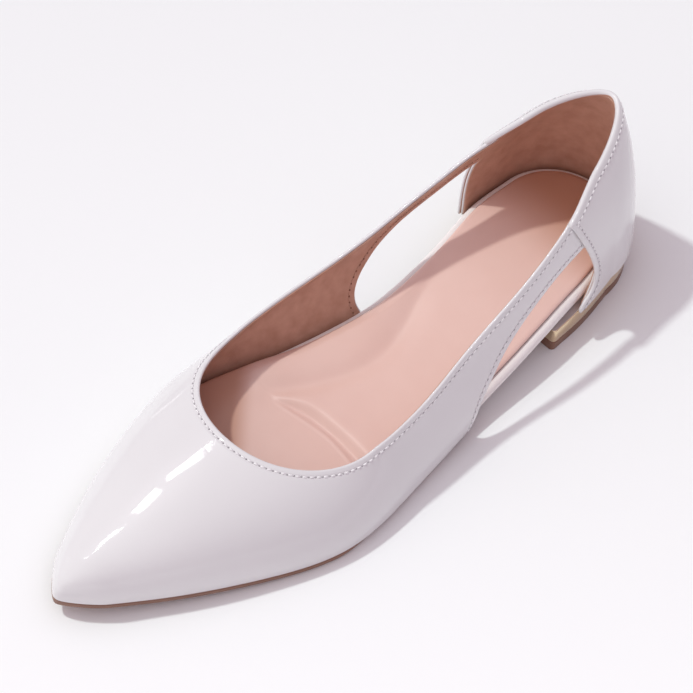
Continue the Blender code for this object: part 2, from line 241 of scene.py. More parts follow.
def grid_quads(cols, rows, start=0, flip=False, keep=None):
    """Quads of a grid of points stored column by column; keep is a mask of its cells."""
    c, r = np.meshgrid(np.arange(cols - 1), np.arange(rows - 1), indexing="ij")
    i = start + c * rows + r
    quads = np.stack([i, i + rows, i + rows + 1, i + 1], -1)
    quads = quads[keep] if keep is not None else quads.reshape(-1, 4)
    return quads[:, ::-1] if flip else quads


def ring_quads(n, m):
    """Quads between n closed rings of m points each, one ring joined to the next."""
    i, j = np.meshgrid(np.arange(n - 1), np.arange(m), indexing="ij")
    jj = (j + 1) % m
    return np.stack([i * m + j, i * m + jj, (i + 1) * m + jj, (i + 1) * m + j], -1).reshape(-1, 4)


def weld(mesh, mm, turn_out=False):
    """Joins doubled points and drops slivers, with mm the size of a millimetre in the mesh; turn_out also
    turns the faces of a closed mesh outwards."""
    bm = bmesh.new()
    bm.from_mesh(mesh)
    bmesh.ops.remove_doubles(bm, verts=bm.verts, dist=WELD * mm)
    bmesh.ops.dissolve_degenerate(bm, edges=bm.edges, dist=SLIVER * mm)
    if turn_out:
        bmesh.ops.recalc_face_normals(bm, faces=bm.faces)
    bm.to_mesh(mesh)
    bm.free()


def add_piece(name, points, faces, mats, slots=None):
    """A smooth mesh object from points in millimetres: doubled points joined, faces turned outwards."""
    mesh = bpy.data.meshes.new(name)
    mesh.from_pydata(row_frame(points).tolist(), [], faces)
    for mat in mats:
        mesh.materials.append(mat)
    if slots is not None:
        mesh.polygons.foreach_set("material_index", np.asarray(slots, np.int32))
    weld(mesh, MM, turn_out=True)
    mesh.shade_smooth()
    obj = bpy.data.objects.new(name, mesh)
    shoe.objects.link(obj)
    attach(obj, "root")
    return obj


print("a grid of one cell:", grid_quads(2, 2).tolist())

# %% [markdown]
# Leather is a sheet, so a piece of it starts as an open surface. Its two sides are separate grids that meet
# at the toe and at the heel. Joined, they give one set of points, their normals, and the edges that stay
# open. Blender could find those by selecting boundary edges; here arrays do it, with no selection to keep.

# %% Open surfaces
def read(items, name, size=1, kind=float):
    """One property of all the points, corners or faces of a mesh, as an array."""
    values = np.empty(len(items) * size, kind)
    items.foreach_get(name, values)
    return values.reshape(-1, size) if size > 1 else values


def surface(points, quads):
    """Joins doubled points of an open surface; gives its points, faces, normals and edge loops. The surface
    is open along a side of a face that no other face runs along the other way."""
    mesh = bpy.data.meshes.new("open_surface")
    mesh.from_pydata(points.tolist(), [], quads.tolist())
    weld(mesh, 1.0)
    where, normal = read(mesh.vertices, "co", 3), read(mesh.vertices, "normal", 3)
    corner = read(mesh.loops, "vertex_index", kind=np.int32).astype(np.int64)
    first = read(mesh.polygons, "loop_start", kind=np.int32)
    bpy.data.meshes.remove(mesh)
    following = np.roll(corner, -1)
    following[np.append(first[1:], len(corner)) - 1] = corner[first]
    faces = [face.tolist() for face in np.split(corner, first[1:])]
    n = len(where)
    is_open = ~np.isin(corner * n + following, following * n + corner)
    after = dict(zip(corner[is_open].tolist(), following[is_open].tolist()))
    loops = []
    while after:
        chain, here = [], next(iter(after))
        while here in after:
            chain.append(here)
            here = after.pop(here)
        loops.append(np.array(chain))
    return where, faces, normal, loops


one_cell = surface(np.array([(0.0, 0, 0), (0, 1, 0), (1, 0, 0), (1, 1, 0)]), grid_quads(2, 2))
print("points on the edge of one cell:", [len(loop) for loop in one_cell[3]])

# %% [markdown]
# The sheet is this surface, the same surface moved inwards along its normals, and a round rim between the
# two. A Solidify modifier could thicken it, but with a flat rim. Here the rim is worked out as half a circle,
# so that every edge of the leather is round and catches the light.

# %% Sheets
RIM_STEPS = 5


def sheet_body(where, faces, normal, loops, thick):
    """A closed sheet: the surface, a copy moved inwards by thick, and round rims that join them. A rim
    point is edge - normal * (1 - cos) * thick / 2 + outward * sin * thick / 2, for an angle from 0 to half
    a turn. thick has one value for each point."""
    n = len(where)
    points, polys = [where, where - normal * thick[:, None]], [list(f) for f in faces]
    polys += [[n + i for i in f[::-1]] for f in faces]
    start = 2 * n
    turn = np.pi * np.arange(1, RIM_STEPS) / RIM_STEPS
    for loop in loops:
        tangent = unit(np.roll(where[loop], -1, 0) - np.roll(where[loop], 1, 0))
        outward = unit(np.cross(tangent, normal[loop]))
        half = thick[loop][:, None, None] / 2
        arc = (where[loop][:, None] - normal[loop][:, None] * (1 - np.cos(turn))[None, :, None] * half
               + outward[:, None] * np.sin(turn)[None, :, None] * half)
        m, k = len(loop), RIM_STEPS - 1
        ids = np.concatenate([loop[:, None], start + np.arange(m * k).reshape(m, k), n + loop[:, None]], 1)
        ahead = np.roll(ids, -1, 0)
        polys += np.stack([ids[:, :-1], ids[:, 1:], ahead[:, 1:], ahead[:, :-1]], -1).reshape(-1, 4).tolist()
        points.append(arc.reshape(-1, 3))
        start += m * k
    return np.concatenate(points), polys


print("a rim takes", RIM_STEPS, "steps of", 180 // RIM_STEPS, "degrees")

# %% [markdown]
# Solid pieces are lofts: rings of points joined one to the next and capped. The leather's bump has to know
# how near an edge is, so each point of a sheet also keeps its distance from the nearest one, as an attribute.

# %% Lofts and edges
EDGE_STEP, CHUNK = 0.6, 2000


def loft(name, rings, mats, edge_columns=()):
    """A closed solid through rings of points, capped at both ends; edge_columns get the second finish."""
    n, m = rings.shape[:2]
    faces = ring_quads(n, m).tolist() + [list(range(m))[::-1], list(range((n - 1) * m, n * m))]
    slots = np.append(np.tile(np.isin(np.arange(m), edge_columns), n - 1), [0, 0])
    return add_piece(name, rings.reshape(-1, 3), faces, mats, slots)


def resample(path, pitch):
    """Points along a path at even steps of about pitch."""
    run = np.concatenate([[0], np.cumsum(np.linalg.norm(np.diff(path, axis=0), axis=1))])
    at = np.linspace(0, run[-1], max(int(round(run[-1] / pitch)), 2) + 1)
    return np.stack([np.interp(at, run, path[:, k]) for k in range(3)], -1)


def edge_distance(points, paths):
    """Each point's distance from the nearest of some edge paths."""
    line = np.concatenate([resample(p, EDGE_STEP) for p in paths])
    return np.concatenate([np.sqrt(((part[:, None] - line[None]) ** 2).sum(-1).min(1))
                           for part in np.array_split(points, len(points) // CHUNK + 1)])


def edge_field(obj, paths):
    """Stores each point's distance in millimetres from the nearest edge, for the leather's bump."""
    far = edge_distance(read(obj.data.vertices, "co", 3) / MM, [row_frame(p) / MM for p in paths])
    obj.data.attributes.new("edge_mm", "FLOAT", "POINT").data.foreach_set("value", far)


print("a loft of two rings of 4:", len(ring_quads(2, 4)), "sides")

# %% [markdown]
# ## Finishes
# Each finish is one Principled shader. Its colour, gloss and bump come from noise on Object coordinates, so
# a pattern keeps its size in millimetres on every piece. Painted textures would do as well, but noise needs
# no unwrapping and stays sharp close up. These helpers make the few nodes that all the finishes share.

# %% Shader helpers
def finish(name, colour, rough, **sockets):
    """A Principled material; sockets set the shader's other inputs. Returns it with its nodes and links."""
    mat = bpy.data.materials.new(name)
    mat.use_nodes = True
    nodes, links = mat.node_tree.nodes, mat.node_tree.links
    shader = nodes["Principled BSDF"]
    shader.inputs["Base Color"].default_value = (*colour, 1)
    shader.inputs["Roughness"].default_value = rough
    for key, value in sockets.items():
        shader.inputs[key.replace("_", " ")].default_value = value
    return mat, nodes, links, shader


def noise(nodes, links, size_mm, detail=2.0, stretch=(1, 1, 1)):
    """Noise on Object coordinates with features of about size_mm."""
    coords = nodes.new("ShaderNodeTexCoord")
    mapping = nodes.new("ShaderNodeMapping")
    mapping.inputs["Scale"].default_value = stretch
    tex = nodes.new("ShaderNodeTexNoise")
    tex.inputs["Scale"].default_value = 1 / (size_mm * MM)
    tex.inputs["Detail"].default_value = detail
    links.new(coords.outputs["Object"], mapping.inputs["Vector"])
    links.new(mapping.outputs["Vector"], tex.inputs["Vector"])
    return tex.outputs["Fac"]


def bump(nodes, links, height, depth_mm, below=None):
    """A bump of depth_mm from a height of 0 to 1, laid over another bump where one is given."""
    node = nodes.new("ShaderNodeBump")
    node.inputs["Strength"].default_value = 1.0
    node.inputs["Distance"].default_value = depth_mm * MM
    links.new(height, node.inputs["Height"])
    if below is not None:
        links.new(below, node.inputs["Normal"])
    return node.outputs["Normal"]


def ramp(nodes, links, value, stops):
    """A colour ramp with stops of (place, colour)."""
    node = nodes.new("ShaderNodeValToRGB")
    marks = node.color_ramp.elements
    while len(marks) < len(stops):
        marks.new(0.5)
    for mark, (place, colour) in zip(marks, stops):
        mark.position = place
        mark.color = (*colour, 1)
    links.new(value, node.inputs["Fac"])
    return node.outputs["Color"]


def grey(x):
    """A colour with three equal parts."""
    return (x, x, x)


print("shader helpers: noise, bump, ramp")

# %% [markdown]
# Patent leather is a coloured hide under a clear, hard film. In the shader that is a pale, half-rough base
# with a full coat on top, very smooth. A soft, wide bump bends its reflections a little, as a real hide does,
# and another presses the sheet down along its stitches, read from each point's distance to the edge.

# %% Patent leather
STITCH_INSET, EDGE_REACH = 1.8, 12.0


def patent(name, colour):
    """White patent leather: coat over hide, wide waviness, and a pressed line along the stitches."""
    mat, nodes, links, shader = finish(name, colour, 0.32, Specular_IOR_Level=0.4, Coat_Weight=1.0,
                                       Coat_Roughness=0.045, Coat_IOR=1.5)
    shaded = tuple(0.975 * c for c in colour)
    tone = ramp(nodes, links, noise(nodes, links, size_mm=40.0), [(0.3, shaded), (0.7, colour)])
    links.new(tone, shader.inputs["Base Color"])
    wave = bump(nodes, links, noise(nodes, links, size_mm=22.0, detail=1.0), depth_mm=0.022)
    peel = bump(nodes, links, noise(nodes, links, size_mm=1.6, detail=3.0), depth_mm=0.0022, below=wave)
    edge = nodes.new("ShaderNodeAttribute")
    edge.attribute_name = "edge_mm"
    share = nodes.new("ShaderNodeMath")
    share.operation = "DIVIDE"
    share.inputs[1].default_value = EDGE_REACH
    links.new(edge.outputs["Fac"], share.inputs[0])
    line = STITCH_INSET / EDGE_REACH
    press = ramp(nodes, links, share.outputs[0],
                 [(0.0, grey(0.75)), (line - 0.07, grey(0.9)), (line, grey(0.0)), (line + 0.08, grey(0.75)),
                  (0.62, grey(0.55))])
    pressed = bump(nodes, links, press, depth_mm=0.16, below=peel)
    links.new(pressed, shader.inputs["Normal"])
    links.new(pressed, shader.inputs["Coat Normal"])
    return mat


PATENT_WHITE = (0.77, 0.757, 0.763)
WHITE = patent("white_patent_film", PATENT_WHITE)
WHITE_COUNTER = patent("white_patent_film_counter", PATENT_WHITE)
print("patent:", WHITE.name, WHITE_COUNTER.name)

# %% [markdown]
# Lining and sock are soft, open leathers: a cloudy tone between two colours, a pebble grain from a texture of
#  small cells, and a gloss that varies a little. The same recipe with other values gives the board's white
#  wrap, the rubber of sole and lift, the thread, and the grey and brown of the needle holes, which is painted
#  shade.

# %% Soft leathers and rubber
def soft_leather(name, light, dark, rough, grain_mm, grain_depth, cloud_mm=18.0, uneven=0.06, painted_shade=None):
    """Unglazed leather: cloudy tone, pebble grain, and a broken gloss. Given a painted_shade colour, it turns
    to that colour by the attribute of that name: painted shade where shadows fall on it."""
    mat, nodes, links, shader = finish(name, light, rough, Specular_IOR_Level=0.45)
    tone = ramp(nodes, links, noise(nodes, links, cloud_mm, detail=4.0), [(0.3, dark), (0.7, light)])
    # Painted shade: the colour turns towards the shade colour by the painted_shade attribute.
    if painted_shade:
        share, mix = nodes.new("ShaderNodeAttribute"), nodes.new("ShaderNodeMix")
        share.attribute_name, mix.data_type = "painted_shade", "RGBA"
        links.new(share.outputs["Fac"], mix.inputs["Factor"])
        mix_colours = [socket for socket in mix.inputs if socket.type == "RGBA"]
        links.new(tone, mix_colours[0])
        mix_colours[1].default_value = (*painted_shade, 1)
        tone = [socket for socket in mix.outputs if socket.type == "RGBA"][0]
    links.new(tone, shader.inputs["Base Color"])
    gloss = ramp(nodes, links, noise(nodes, links, size_mm=6.0),
                 [(0.3, grey(rough - uneven)), (0.7, grey(rough + uneven))])
    links.new(gloss, shader.inputs["Roughness"])
    coords = nodes.new("ShaderNodeTexCoord")
    cells = nodes.new("ShaderNodeTexVoronoi")
    cells.inputs["Scale"].default_value = 1 / (grain_mm * MM)
    links.new(coords.outputs["Object"], cells.inputs["Vector"])
    pebble = bump(nodes, links, cells.outputs["Distance"], grain_depth)
    fine = bump(nodes, links, noise(nodes, links, size_mm=0.5), 0.4 * grain_depth, pebble)
    links.new(fine, shader.inputs["Normal"])
    return mat


LINING = soft_leather("tan_lining_leather", (0.65, 0.385, 0.285), (0.54, 0.30, 0.21), rough=0.5,
                      grain_mm=0.55, grain_depth=0.05, cloud_mm=5.0)
# The sock's third colour is painted shade for its heel and the inner side of its toe.
SOCK = soft_leather("rose_beige_sock", (0.79, 0.55, 0.485), (0.765, 0.52, 0.455), rough=0.29,
                    grain_mm=0.6, grain_depth=0.008, uneven=0.01, painted_shade=(0.52, 0.27, 0.185))
RIM = soft_leather("white_wrapped_board", (0.90, 0.85, 0.83), (0.87, 0.82, 0.80), rough=0.3,
                   grain_mm=0.7, grain_depth=0.03)
SOLE = soft_leather("tan_sole_rubber", (0.27, 0.145, 0.10), (0.23, 0.12, 0.082), rough=0.45,
                    grain_mm=0.4, grain_depth=0.03)
LIFT = soft_leather("tan_lift_rubber", (0.24, 0.12, 0.078), (0.20, 0.098, 0.062), rough=0.42,
                    grain_mm=0.4, grain_depth=0.03)
# The heel seat: its own grey board colour, darkened as painted shade where the footbed shades the top of the
# heel.
SEAT_AND_SHADE = soft_leather("grey_heel_seat_and_shade", (0.43, 0.365, 0.35), (0.375, 0.315, 0.30), rough=0.5,
                    grain_mm=0.5, grain_depth=0.03)
EDGE_PAINT = soft_leather("brown_edge_paint", (0.12, 0.05, 0.03), (0.09, 0.036, 0.02), rough=0.5,
                          grain_mm=0.5, grain_depth=0.02)
THREAD = soft_leather("pale_thread", (0.90, 0.88, 0.89), (0.84, 0.82, 0.83), rough=0.45,
                      grain_mm=0.35, grain_depth=0.05)
# The needle holes' brown and grey are painted shade for the hollow of each hole.
LINING_HOLE_PAINTED_SHADE = soft_leather("lining_needle_hole_painted_shade", (0.30, 0.14, 0.09), (0.26, 0.12, 0.075), rough=0.8,
                           grain_mm=0.4, grain_depth=0.01)
HOLE_PAINTED_SHADE = soft_leather("needle_hole_painted_shade", (0.52, 0.49, 0.515), (0.47, 0.44, 0.465), rough=0.8,
                    grain_mm=0.4, grain_depth=0.01)
print("sock:", SOCK.name, "lining:", LINING.name)

# %% [markdown]
# The band round the heel is plastic under a thin bright metal film. Metals colour their own reflections, so
# the gold is the base colour of a fully metallic shader. Fine lines drawn along the band stretch its glints.

# %% Gold film
def gold_film(name):
    """Bright pale-gold film: fine lines drawn along the band, and a faint cloud in the gloss."""
    mat, nodes, links, shader = finish(name, (0.80, 0.63, 0.42), 0.2, Metallic=1.0)
    cloud = noise(nodes, links, size_mm=9.0, detail=3.0)
    tone = ramp(nodes, links, cloud, [(0.3, (0.76, 0.585, 0.38)), (0.7, (0.83, 0.665, 0.45))])
    links.new(tone, shader.inputs["Base Color"])
    gloss = ramp(nodes, links, cloud, [(0.3, grey(0.16)), (0.7, grey(0.26))])
    links.new(gloss, shader.inputs["Roughness"])
    lines = noise(nodes, links, size_mm=0.25, stretch=(0.05, 0.05, 1.0))
    links.new(bump(nodes, links, lines, depth_mm=0.012), shader.inputs["Normal"])
    return mat


GOLD = gold_film("pale_gold_film")
print("finishes:", len(bpy.data.materials))

# %% [markdown]
# ## The upper
# Vamp, wings and straps are cut from one hide, so they are one surface. Each side is a grid of lines that run
# up from the sole: round the toe, along the throat, down the wing, along the strap, round the heel. The cells
# under the strap are left out, which makes the cut-out. A boolean could cut it too, but its edge would be
# ragged. Rows crowd towards the edges, where the hide is folded.

# %% Lines of the upper's grid
STEPS = dict(toe=58, throat=52, wing=34, strap=46, side=10, back=30)
TIP_STEPS, APEX_FOOT = 14, 197.0
CUT = {OUTER: dict(foot=107.5, bow=2.6), INNER: dict(foot=101.0, bow=3.4)}
HEEL_WALL = {OUTER: dict(foot=44.0, end=43.0, bow=-7.6), INNER: dict(foot=46.0, end=40.2, bow=0.9)}
APEX = STEPS["toe"] - 1
WING = APEX + STEPS["throat"] - 1
CUT_COL = WING + STEPS["wing"] - 1
HEEL_COL = CUT_COL + STEPS["strap"] - 1


def span(a, b, n):
    """Even steps from a to b without the first."""
    return np.linspace(a, b, n)[1:]


def upper_lines(side):
    """Places along the shoe of each grid line at the sole, at the strap's lower edge and at the topline."""
    foot, heel, end = CUT[side]["foot"], HEEL_WALL[side]["foot"], HEEL_WALL[side]["end"]
    tip = np.concatenate([LENGTH - TOE_ROUND + TOE_ROUND * np.cos(np.linspace(0, np.pi / 2, TIP_STEPS)),
                          span(LENGTH - TOE_ROUND, APEX_FOOT, STEPS["toe"] - TIP_STEPS + 1)])
    blend = np.clip((LENGTH - TOE_ROUND - tip) / (LENGTH - TOE_ROUND - APEX_FOOT), 0, 1) ** 2
    ridge = tip - blend * (APEX_FOOT - THROAT)
    turn = span(0, np.pi / 2, STEPS["throat"])
    collar = THROAT_FROM + (THROAT - THROAT_FROM) * np.cos(turn) ** THROAT_POWER
    collar[-1] = THROAT_FROM
    under = span(APEX_FOOT, THROAT_FROM, STEPS["throat"])
    back = HEEL_DEPTH - BACK_ARC * span(0, 1, STEPS["back"])
    near = span(end, HEEL_DEPTH, STEPS["side"])
    low = np.concatenate([tip, under, span(THROAT_FROM, foot, STEPS["wing"]),
                          span(foot, heel, STEPS["strap"]), span(heel, HEEL_DEPTH, STEPS["side"]), back])
    mid = np.concatenate([(tip + ridge) / 2, (under + collar) / 2,
                          span(THROAT_FROM, STRAP_START, STEPS["wing"]),
                          span(STRAP_START, end, STEPS["strap"]), near, back])
    top = np.concatenate([ridge, collar, span(THROAT_FROM, STRAP_TOP_END, STEPS["wing"]),
                          span(STRAP_TOP_END, end, STEPS["strap"]), near, back])
    return low, mid, top


print("grid lines on a side:", len(upper_lines(OUTER)[0]))

# %% [markdown]
# Each grid line is then filled with points, from the sole to the strap's lower edge and on to the topline. In
# front of the cut-out that lower edge is only a guide, and it fades into the middle of the vamp.

# %% Points of the upper
LOW_ROWS, BAND_ROWS, CROWDING = 22, 22, 1.35
GUIDE_FADE, BOW_CURVE = 6, 1.5


def crowd(n, power):
    """n steps from 0 to 1 that crowd towards both ends: each half is 1 - (1 - t)^power."""
    t = np.linspace(-1, 1, n)
    return 0.5 + 0.5 * np.sign(t) * (1 - (1 - np.abs(t)) ** power)


def upper_points(side):
    """The grid of points of one side, column by column: place and angle go evenly from the sole to the
    strap's lower edge, and from there to the topline."""
    low, mid, top = (line - HEEL_DEPTH for line in upper_lines(side))
    a_top = angle_at(top, topline(top) - sole_top(top))
    a_top[:APEX + 1] = np.pi / 2
    turn = np.linspace(0, np.pi / 2, STEPS["throat"])
    half = section("half", THROAT_FROM) * np.cos(a_top[WING]) ** (2 / ARCH_POWER)
    share = half * np.sin(turn) ** THROAT_POWER / section("half", top[APEX:WING + 1] + HEEL_DEPTH)
    a_top[APEX:WING + 1] = np.arccos(np.clip(share, 0, 1) ** (ARCH_POWER / 2))
    a_mid = angle_at(mid, strap_low(mid) - sole_top(mid))
    count = np.arange(len(mid))
    fade = np.clip(count / CUT_COL, 0, 1) ** GUIDE_FADE
    a_mid = np.where(count < CUT_COL, 0.5 * a_top * (1 - fade) + a_mid * fade, a_mid)
    bow = np.zeros(len(mid))
    bow[WING:CUT_COL + 1] = CUT[side]["bow"] * np.linspace(0, 1, CUT_COL + 1 - WING) ** BOW_CURVE
    bow[HEEL_COL:HEEL_COL + STEPS["side"]] = HEEL_WALL[side]["bow"] * np.linspace(1, 0, STEPS["side"])
    v, w = crowd(LOW_ROWS + 1, CROWDING), crowd(BAND_ROWS + 1, CROWDING)[1:]
    s = np.concatenate([low[:, None] + (mid - low)[:, None] * v + bow[:, None] * 4 * v * (1 - v),
                        mid[:, None] + (top - mid)[:, None] * w], 1)
    angle = np.concatenate([a_mid[:, None] * v, a_mid[:, None] + (a_top - a_mid)[:, None] * w], 1)
    return wall(side, s, rise(s, angle))


grids = {side: upper_points(side) for side in (OUTER, INNER)}
cols, rows = grids[OUTER].shape[:2]
kept = np.ones((cols - 1, rows - 1), bool)
kept[CUT_COL:HEEL_COL, :LOW_ROWS] = False
quads = np.concatenate([grid_quads(cols, rows, 0, True, kept),
                        grid_quads(cols, rows, cols * rows, False, kept)])
face_points, face_polys, face_normals, face_loops = surface(
    np.concatenate([g.reshape(-1, 3) for g in grids.values()]), quads)
print("upper grid:", cols, "x", rows, "edge loops:", [len(loop) for loop in face_loops])

# %% [markdown]
# The hide is 0.9 mm thick, and 1.4 mm at its edges, where it is folded over, but not where the counter covers
# it. A thin lining lies against its inner face. Seen from above, the collar then shows a rolled white edge
# with a fine tan line inside it.

# %% Patent hide and lining
HIDE, FOLD_THICK, FOLD_REACH, LINER, GLUE = 0.9, 0.5, 2.6, 0.3, 0.05
COVERED_TO, COVERED_FADE, COVERED_DEEP = {OUTER: 46.0, INNER: 41.5}, 3.0, 8.0
top_edge = np.concatenate([grids[OUTER][:APEX - 1:-1, -1], grids[INNER][APEX + 1:, -1]])
cut_edges = {side: np.concatenate([g[CUT_COL, :LOW_ROWS], g[CUT_COL:HEEL_COL + 1, LOW_ROWS]])
             for side, g in grids.items()}
edge_gap = edge_distance(face_points, [top_edge, *cut_edges.values()])
covered = np.where(face_points[:, 1] > 0, COVERED_TO[INNER], COVERED_TO[OUTER])
under_counter = np.clip((covered - face_points[:, 0]) / COVERED_FADE, 0, 1) * (edge_gap < COVERED_DEEP)
hide_thick = HIDE + FOLD_THICK * np.exp(-(edge_gap / FOLD_REACH) ** 2) * (1 - under_counter)
points, polys = sheet_body(face_points, face_polys, face_normals, face_loops, hide_thick)
hide = add_piece("upper_patent", points, polys, [WHITE])
edge_field(hide, [top_edge, *cut_edges.values()])
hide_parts("upper")
inside = face_points - face_normals * (hide_thick + GLUE)[:, None]
points, polys = sheet_body(inside, face_polys, face_normals, face_loops, np.full(len(inside), LINER))
lining = add_piece("upper_lining", points, polys, [LINING])
print("hide:", len(hide.data.polygons), "faces; lining:", len(lining.data.polygons))

# %% [markdown]
# ## The counter
# A second piece of patent leather wraps the heel and laps over the ends of the straps. It is the same wall, a
# little further out, with a curved front edge whose foot runs forward along the heel. The front edge is a
# table of (height, along) for each side, and the inner face is lined.

# %% Counter
COUNTER_FRONT = {
    OUTER: np.array([(13.3, 46.4), (15.0, 46.2), (16.3, 44.9), (17.4, 42.7), (18.6, 40.7), (20.4, 39.2),
                     (24, 38.2), (28, 38.3), (32, 39.2), (39, 41.4), (46, 43.9), (52, 46.0), (58, 48.0)]),
    INNER: np.array([(13.3, 46.4), (18, 46.0), (24, 45.2), (30, 44.2), (35, 43.0), (39, 41.7), (43, 40.8),
                     (48, 41.2), (53, 42.2), (58, 43.3)])}
COUNTER_TOP = {OUTER: 47.3, INNER: 42.8}
COUNTER_OUT, COUNTER_WALL, COUNTER_LIP = 1.4, 1.3, 0.7
COUNTER_FOLD, COUNTER_REACH = 1.0, 1.9
COUNTER_COLS, COUNTER_ROWS, COUNTER_CROWDING = 70, 72, 1.2


def counter_points(side):
    """The grid of the counter's outer face, from its front edge back to the middle of the heel."""
    w, v = np.meshgrid(crowd(COUNTER_COLS, COUNTER_CROWDING), crowd(COUNTER_ROWS, COUNTER_CROWDING),
                       indexing="ij")
    foot, peak = COUNTER_FRONT[side][0, 0], topline(COUNTER_TOP[side] - HEEL_DEPTH)
    front = curve(COUNTER_FRONT[side], foot + (peak - foot) * v) - HEEL_DEPTH
    s = front + (-BACK_ARC - front) * w
    h = (topline(s) + COUNTER_LIP - sole_top(s)) * v
    return wall(side, s, h, COUNTER_OUT)


backs = {side: counter_points(side) for side in (OUTER, INNER)}
quads = np.concatenate([grid_quads(COUNTER_COLS, COUNTER_ROWS, 0, True),
                        grid_quads(COUNTER_COLS, COUNTER_ROWS, COUNTER_COLS * COUNTER_ROWS)])
back_points, back_polys, back_normals, back_loops = surface(
    np.concatenate([g.reshape(-1, 3) for g in backs.values()]), quads)
back_gap = edge_distance(back_points, [backs[OUTER][:, -1], backs[INNER][:, -1]])
back_thick = COUNTER_WALL + COUNTER_FOLD * np.exp(-(back_gap / COUNTER_REACH) ** 2)
points, polys = sheet_body(back_points, back_polys, back_normals, back_loops, back_thick)
last_of_rim = np.arange(RIM_STEPS) == RIM_STEPS - 1
lined = np.concatenate([np.zeros(len(back_polys)), np.ones(len(back_polys)),
                        np.tile(last_of_rim, (len(polys) - 2 * len(back_polys)) // RIM_STEPS)])
counter = add_piece("counter_patent", points, polys, [WHITE_COUNTER, LINING], lined)
counter_edge = np.concatenate([backs[OUTER][0, :-1], backs[OUTER][:, -1], backs[INNER][-2::-1, -1],
                               backs[INNER][0, -2::-1]])
edge_field(counter, [counter_edge])
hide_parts("counter")
print("counter:", len(counter.data.polygons), "faces")

# %% [markdown]
# ## Stitches
# A row of stitches runs 1.8 mm inside every cut edge. Each stitch is a small bead of thread that dives into a
# needle hole at both ends. A row is found by moving the edge inwards over the surface. Then one bead is
# copied to every place as whole arrays, which is quicker than an object for each stitch.

# %% Stitch lines
STITCH_PITCH = 2.5


def nearest(tree, points):
    """For each point the nearest place on a surface, the normal there, and the distance."""
    hits = [tree.find_nearest(point) for point in points.tolist()]
    return tuple(np.array(part) for part in zip(*[(place, normal, far) for place, normal, _, far in hits]))


def stitch_line(edge, tree):
    """The line on a surface at STITCH_INSET inside its edge, in even steps: the edge moved along
    normal x tangent, to the side where the surface is, and put back on the surface."""
    edge = resample(edge, STITCH_PITCH / 3)
    tangent = unit(np.gradient(edge, axis=0))
    aside = unit(np.cross(nearest(tree, edge)[1], tangent))
    misses = [nearest(tree, edge + sign * aside)[2].mean() for sign in (-1, 1)]
    moved = edge + (-1 if misses[0] < misses[1] else 1) * STITCH_INSET * aside
    return resample(nearest(tree, moved)[0], STITCH_PITCH)


hide_tree = BVHTree.FromPolygons(face_points.tolist(), face_polys)
counter_tree = BVHTree.FromPolygons(back_points.tolist(), back_polys)
lining_tree = BVHTree.FromPolygons((inside - LINER * face_normals).tolist(), [f[::-1] for f in face_polys])
print("stitches round the counter:", len(stitch_line(counter_edge, counter_tree)) - 1)

# %% [markdown]
# A bead is a thin loft of six sides that swells in its middle. Each needle hole is a small flat lens in a
#  darker colour, painted shade for the hollow of the hole: on white leather a hole shows as a grey dot at the
#  end of a stitch. Real holes, cut with booleans, would cost far more faces and look the same from here.

# %% Beads and needle holes
STITCH_LONG, BEAD_RINGS, BEAD_SIDES = 1.7, 7, 6
THREAD_R, THREAD_FLAT, THREAD_END, THREAD_UP, THREAD_DIVE = 0.36, 0.7, 0.02, 0.14, 0.26
HOLE_R, HOLE_FLAT, HOLE_SIDES, HOLE_UP, HOLE_PEAKS = 0.42, 0.8, 8, 0.02, np.array([0.06, -0.1])


def stitch_beads(path, tree):
    """Beads along a path: ring u of a bead lies at u * long / 2 along it, with radius R * (1 - u^4)^(1/2),
    and sinks at its ends by u^2."""
    middle = (path[:-1] + path[1:]) / 2
    along = unit(path[1:] - path[:-1])
    up = nearest(tree, middle)[1]
    aside = unit(np.cross(up, along))
    u = np.linspace(-1, 1, BEAD_RINGS)
    size = THREAD_R * np.sqrt(np.clip(1 + THREAD_END - u ** 4, THREAD_END, 1))
    phi = np.linspace(0, 2 * np.pi, BEAD_SIDES, endpoint=False)
    x = (u * STITCH_LONG / 2)[:, None] + 0 * phi
    y = size[:, None] * np.cos(phi)
    z = THREAD_FLAT * size[:, None] * np.sin(phi) + THREAD_UP - THREAD_DIVE * (u ** 2)[:, None]
    beads = (middle[:, None, None] + along[:, None, None] * x[None, ..., None]
             + aside[:, None, None] * y[None, ..., None] + up[:, None, None] * z[None, ..., None])
    per = BEAD_RINGS * BEAD_SIDES
    start = (np.arange(len(middle)) * per)[:, None, None]
    faces = start + ring_quads(BEAD_RINGS, BEAD_SIDES)[None]
    ends = [list(range(BEAD_SIDES))[::-1], list(range(per - BEAD_SIDES, per))]
    caps = start + np.array(ends)[None]
    return beads.reshape(-1, 3), faces.reshape(-1, 4).tolist() + caps.reshape(-1, BEAD_SIDES).tolist()


